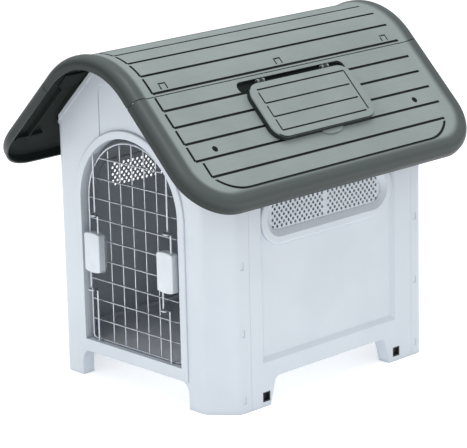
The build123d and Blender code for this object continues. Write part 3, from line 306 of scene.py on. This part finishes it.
def roof_plastic(name):
    """Roof panels: grained planks; painted shade on the groove floors and the underside; a smoother rim
    painted dark, with a painted highlight along its top.
    """
    shader = Shader(name, 0.55)
    y, height, slope = slope_place(shader)
    level = roof_level(shader, height, slope)
    far = corner_reach(shader, y, slope)
    plank = shader.ramp(far, ROOF_CORNER - RIM_CREST, ROOF_CORNER - RIM_FOOT)
    fibres = shader.noise(FIBRE_SCALE, 4.0, FIBRE_STRETCH)
    # Rim in painted shade, lighter at the bead's top as a painted highlight.
    rim_light_and_shade = shader.mix(shader.ramp(level, -RIM_SHADE_DEPTH, RIM_SHADE_TOP), PAINTED_SIDE_SHADE, RIM_PAINTED_HIGHLIGHT)
    tone = shader.mix(plank, rim_light_and_shade, plank_tone(shader, fibres))
    # Paler edges, partly rubbed wear and partly painted highlight.
    tone = roof_wear_and_highlight(shader, tone, shader.mix(plank, RIM_EDGE_WEAR_AND_HIGHLIGHT, PLANK_EDGE_WEAR_AND_HIGHLIGHT))
    # Painted shade over the roof's underside.
    within = shader.ramp(far, ROOF_CORNER - SKIRT_WALL / 2, ROOF_CORNER - SKIRT_WALL)
    below = shader.ramp(level, UNDERSIDE + 0.001, UNDERSIDE)
    under_shade = shader.math("MULTIPLY", within, below)
    tone = shader.mix(under_shade, tone, UNDERSIDE_PAINTED_SHADE)
    # Painted shade on the roof's groove floors.
    groove_shade = shader.math("MULTIPLY", groove_floors(shader, level), plank)
    shader.colour(shader.mix(groove_shade, tone, GROOVE_PAINTED_SHADE))
    grain = shader.ramp(fibres, 0.3, 0.7, 0.12, 0.28)
    dull = shader.math("ADD", 0.40, shader.math("MULTIPLY", under_shade, 0.5))
    shader.rough(shader.math("ADD", dull, shader.math("MULTIPLY", plank, grain)))
    grained(shader, fibres)
    return shader.material


def lid_plastic(name):
    """The hatch lid: planks with painted shade on its groove floors and on its sides."""
    shader = Shader(name, 0.55)
    y, height, slope = slope_place(shader)
    level = shader.math("SUBTRACT", height, LID_TOP)
    # Painted shade on the lid's groove floors.
    groove_shade = shader.math("MULTIPLY", groove_floors(shader, level), lid_middle(shader, y, slope))
    fibres = shader.noise(FIBRE_SCALE, 4.0, FIBRE_STRETCH)
    tone = roof_wear_and_highlight(shader, plank_tone(shader, fibres), PLANK_EDGE_WEAR_AND_HIGHLIGHT)
    # Painted shade on the lid's sides, in the rim's shade colour.
    side_shade = shader.math("MULTIPLY", shader.ramp(level, LID_SIDE, LID_SIDE - 0.0015),
                       shader.ramp(slope, LID_LOW_EDGE_U + 0.001, LID_LOW_EDGE_U + 0.0003))
    tone = shader.mix(side_shade, tone, PAINTED_SIDE_SHADE)
    shader.colour(shader.mix(groove_shade, tone, GROOVE_PAINTED_SHADE))
    shader.rough(shader.ramp(fibres, 0.3, 0.7, 0.50, 0.66))
    grained(shader, fibres)
    return shader.material


def drawn_steel(name, light, shade, roughness, lay):
    """Plated wire: bright metal with draw lines along the wire and dull specks."""
    shader = Shader(name, roughness, metallic=1.0)
    lines = shader.noise(900.0, 3.0, lay)
    specks = shader.ramp(shader.noise(260.0, 4.0), 0.58, 0.72)
    tone = shader.mix(shader.ramp(lines, 0.35, 0.65), shade, light)
    shader.colour(shader.mix(shader.math("MULTIPLY", specks, 0.5), tone, shade))
    shader.rough(shader.ramp(lines, 0.3, 0.7, roughness - 0.07, roughness + 0.10))
    shader.bump(lines, 0.15, 0.0001)
    return shader.material


def dress():
    """Gives every CAD node its finished material."""
    wall = moulded("wall_white", WALL_COLOUR, WALL_SHADE, 0.42, gloss=0.15, crease_shade=0.35)
    grille = moulded("grille_white", WALL_COLOUR, WALL_SHADE, 0.48)
    tray = moulded("tray_grey", FLOOR_TRAY_COLOUR, scaled(FLOOR_TRAY_COLOUR, TRAY_SHADE), 0.55)
    grip = moulded("grip_white", GRIP_COLOUR, WALL_SHADE, 0.30, grain=2200.0, gloss=0.5)
    plug = moulded("plug_black", BLACK_COLOUR, SCREW_COLOUR, 0.45)
    roof = roof_plastic("roof_grey")
    lid = lid_plastic("lid_grey")
    upright = drawn_steel("wire_upright", STEEL_COLOUR, STEEL_SHADE, 0.30, ALONG_Z)
    level = drawn_steel("wire_level", STEEL_COLOUR, STEEL_SHADE, 0.30, ALONG_X)
    spring = drawn_steel("spring_steel", SPRING_COLOUR, STEEL_SHADE, 0.34, EVEN)
    screw = drawn_steel("screw_black", SCREW_COLOUR, BLACK_COLOUR, 0.42, EVEN)
    rules = (
        ("roof_screws", screw), ("roof_", roof), ("skylight_lid", lid),
        ("door_row", level), ("door_", upright),
        ("latch_rod", upright), ("latch_spring", spring), ("grip_", grip),
        ("leg_plugs", plug), ("floor_tray", tray), ("vent_", grille),
    )
    for name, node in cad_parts.items():
        chosen = next((material for start, material in rules if name.startswith(start)), wall)
        node.data.materials.clear()
        node.data.materials.append(chosen)


def press_springs():
    """Gives each latch spring its own copy of its mesh."""
    for side_shade in ("left", "right"):
        for level in ("upper", "lower"):
            name = "latch_spring_%s_%s" % (level, side_shade)
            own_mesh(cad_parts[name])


def studio():
    """A pale floor, an even pale surround and soft lights."""
    mesh = bpy.data.meshes.new("studio_floor")
    reach = FLOOR_REACH
    corners = [(-reach, -reach, 0), (reach, -reach, 0), (reach, reach, 0), (-reach, reach, 0)]
    mesh.from_pydata(corners, [], [(0, 1, 2, 3)])
    ground = bpy.data.objects.new("studio_floor", mesh)
    bpy.context.scene.collection.objects.link(ground)
    shader = Shader("floor_white", 0.8)
    cloud = shader.noise(0.6, 2.0)
    shader.colour(shader.mix(cloud, GROUND_SHADE, GROUND_COLOUR))
    shader.surface.inputs["Emission Color"].default_value = (1, 1, 1, 1)
    shader.surface.inputs["Emission Strength"].default_value = FLOOR_GLOW
    ground.data.materials.append(shader.material)

    world = bpy.data.worlds.new("surround")
    bpy.context.scene.world = world
    world.use_nodes = True
    sky = world.node_tree.nodes["Background"]
    sky.inputs["Color"].default_value = SKY_COLOUR
    height = world.node_tree.nodes.new("ShaderNodeSeparateXYZ")
    place = world.node_tree.nodes.new("ShaderNodeTexCoord")
    fade = world.node_tree.nodes.new("ShaderNodeMapRange")
    world.node_tree.links.new(place.outputs["Generated"], height.inputs["Vector"])
    world.node_tree.links.new(height.outputs["Z"], fade.inputs["Value"])
    world.node_tree.links.new(fade.outputs["Result"], sky.inputs["Strength"])
    fade.inputs["From Min"].default_value = 0.0
    fade.inputs["From Max"].default_value = 1.0
    fade.inputs["To Min"].default_value = SKY_AT_HORIZON
    fade.inputs["To Max"].default_value = SKY_OVERHEAD

    soft_light("key", KEY_PLACE, KEY_POWER)
    soft_light("top", TOP_PLACE, TOP_POWER)


def soft_light(name, place, power):
    """A square soft box aimed at the middle of the object."""
    data = bpy.data.lights.new(name, "AREA")
    data.size = LIGHT_SIZE
    data.energy = power
    lamp = bpy.data.objects.new(name, data)
    bpy.context.scene.collection.objects.link(lamp)
    lamp.location = place
    toward = Vector((0, 0, AIM_HEIGHT)) - Vector(place)
    lamp.rotation_euler = toward.to_track_quat("-Z", "Y").to_euler()


def camera():
    """The camera at the measured viewing angle."""
    azimuth = math.radians(CAMERA_AZIMUTH)
    elevation = math.radians(CAMERA_ELEVATION)
    roll = math.radians(CAMERA_ROLL)
    back = Vector((math.sin(azimuth) * math.cos(elevation), -math.cos(azimuth) * math.cos(elevation),
                   math.sin(elevation)))
    right = Vector((math.cos(azimuth), math.sin(azimuth), 0))
    up = back.cross(right)
    aim = Vector((0, 0, AIM_HEIGHT)) + right * CAMERA_AIM_RIGHT + up * CAMERA_AIM_UP
    turned_right = right * math.cos(roll) + up * math.sin(roll)
    turned_up = up * math.cos(roll) - right * math.sin(roll)
    data = bpy.data.cameras.new("camera")
    data.lens = LENS
    data.sensor_width = SENSOR
    data.clip_end = FARTHEST_SEEN
    view = bpy.data.objects.new("camera", data)
    bpy.context.scene.collection.objects.link(view)
    basis = Matrix((turned_right, turned_up, back)).transposed().to_4x4()
    view.matrix_world = Matrix.Translation(aim + back * CAMERA_DISTANCE) @ basis
    bpy.context.scene.camera = view


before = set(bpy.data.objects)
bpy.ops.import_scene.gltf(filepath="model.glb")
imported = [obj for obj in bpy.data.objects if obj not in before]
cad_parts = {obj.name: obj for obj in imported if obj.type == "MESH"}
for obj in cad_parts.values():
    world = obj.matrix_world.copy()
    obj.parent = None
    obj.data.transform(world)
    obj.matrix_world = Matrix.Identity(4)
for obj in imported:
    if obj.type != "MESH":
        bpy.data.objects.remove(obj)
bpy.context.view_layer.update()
camera()
dress()
press_springs()
studio()
bpy.context.scene.view_settings.view_transform = "Standard"
